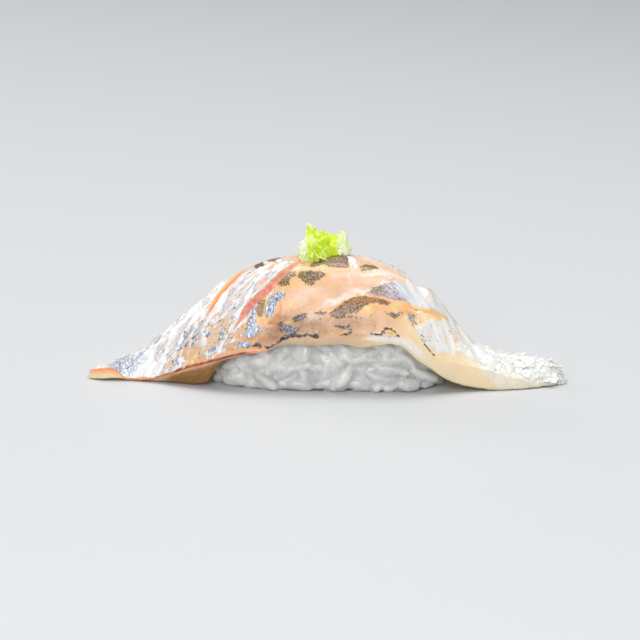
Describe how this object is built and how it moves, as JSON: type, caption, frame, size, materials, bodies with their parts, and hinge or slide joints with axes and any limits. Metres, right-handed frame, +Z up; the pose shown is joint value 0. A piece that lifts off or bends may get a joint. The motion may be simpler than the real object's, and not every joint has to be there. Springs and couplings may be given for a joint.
{
  "type": "mackerel nigiri",
  "caption": "Mackerel nigiri: a scored, silver-skinned slice of fish draped over a pressed loaf of rice, with a pinch of chopped green garnish on its crown.",
  "frame": {"origin": "centre of the flat underside of the rice, on the board", "axes": "+X along the slice towards its thin tail end, +Z up, -Y towards the side first seen"},
  "size_m": [0.0901, 0.0236, 0.0301],
  "materials": {
    "rice": "moist, slightly translucent cooked rice",
    "fish": "moist pale flesh with torn silver skin",
    "garnish": "moist, finely chopped greens"
  },
  "bodies": {
    "root": {"rice_bed": "rice", "fish_slice": "fish", "garnish": "garnish"}
  },
  "joints": []
}
